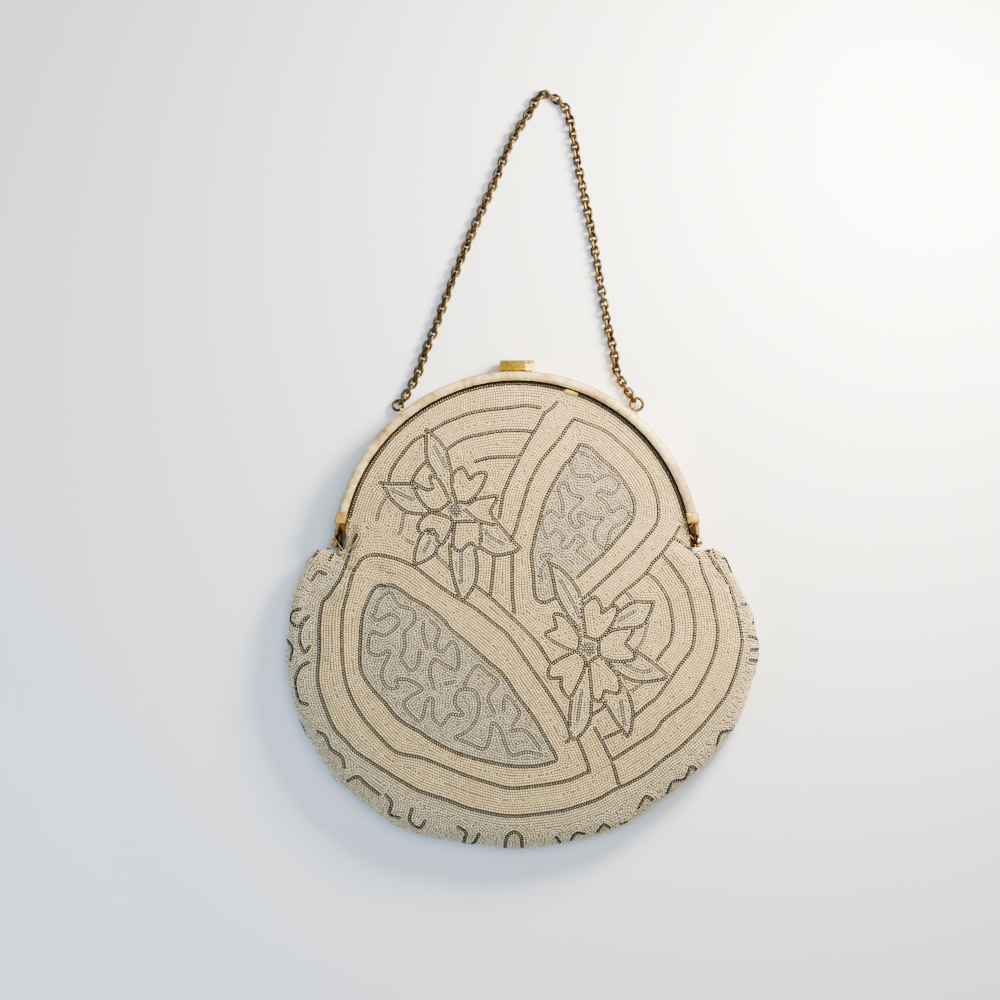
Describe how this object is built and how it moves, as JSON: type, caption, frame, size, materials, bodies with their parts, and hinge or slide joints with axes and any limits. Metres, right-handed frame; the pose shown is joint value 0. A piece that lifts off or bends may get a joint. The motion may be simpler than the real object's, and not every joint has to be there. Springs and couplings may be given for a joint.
{
  "type": "beaded evening purse with an arched clasp frame and chain handle",
  "caption": "Evening purse: round beaded pouch with floral and vermicelli bead ornament, arched ivory-covered gilt frame, lift-up clasp and fine chain handle, lying on its back.",
  "frame": {"origin": "on the flat back of the pouch, on the surface that the purse lies on, straight under the centre of the frame's arch", "axes": "+X along the hinge line to the right as seen from the front, +Y from the bottom seam towards the clasp and the chain, +Z out of the front of the purse, up from the surface that it lies on"},
  "size_m": [0.209, 0.3334, 0.022],
  "materials": {
    "beaded_cloth": "cloth covered with ivory and silver-lined glass seed beads",
    "gilt_metal": "worn gilt, darkened in the recesses",
    "ivory_cover": "ivory celluloid with a pearly polish",
    "clasp_gilt": "bright engraved gilt",
    "chain_brass": "antique brass"
  },
  "bodies": {
    "purse": {"bag_body": "beaded_cloth", "frame_back": "gilt_metal", "frame_front": "gilt_metal", "cover_back": "ivory_cover", "cover_front": "ivory_cover", "end_clip_back_left": "clasp_gilt", "end_clip_back_right": "clasp_gilt", "end_clip_front_left": "clasp_gilt", "end_clip_front_right": "clasp_gilt", "hinge_pin_left": "gilt_metal", "hinge_pin_right": "gilt_metal", "clasp_pin": "clasp_gilt", "jump_ring_left": "chain_brass", "jump_ring_right": "chain_brass", "end_link_left": "chain_brass", "connector_ring_right": "chain_brass", "chain": "chain_brass"},
    "clasp": {"clasp_lever": "clasp_gilt"}
  },
  "joints": [
    {"name": "clasp_lift", "type": "hinge", "parent": "purse", "child": "clasp", "pos_m": [0, 0.08335, 0.0036], "axis": [-1, 0, 0], "range_deg": [0, 75]}
  ]
}
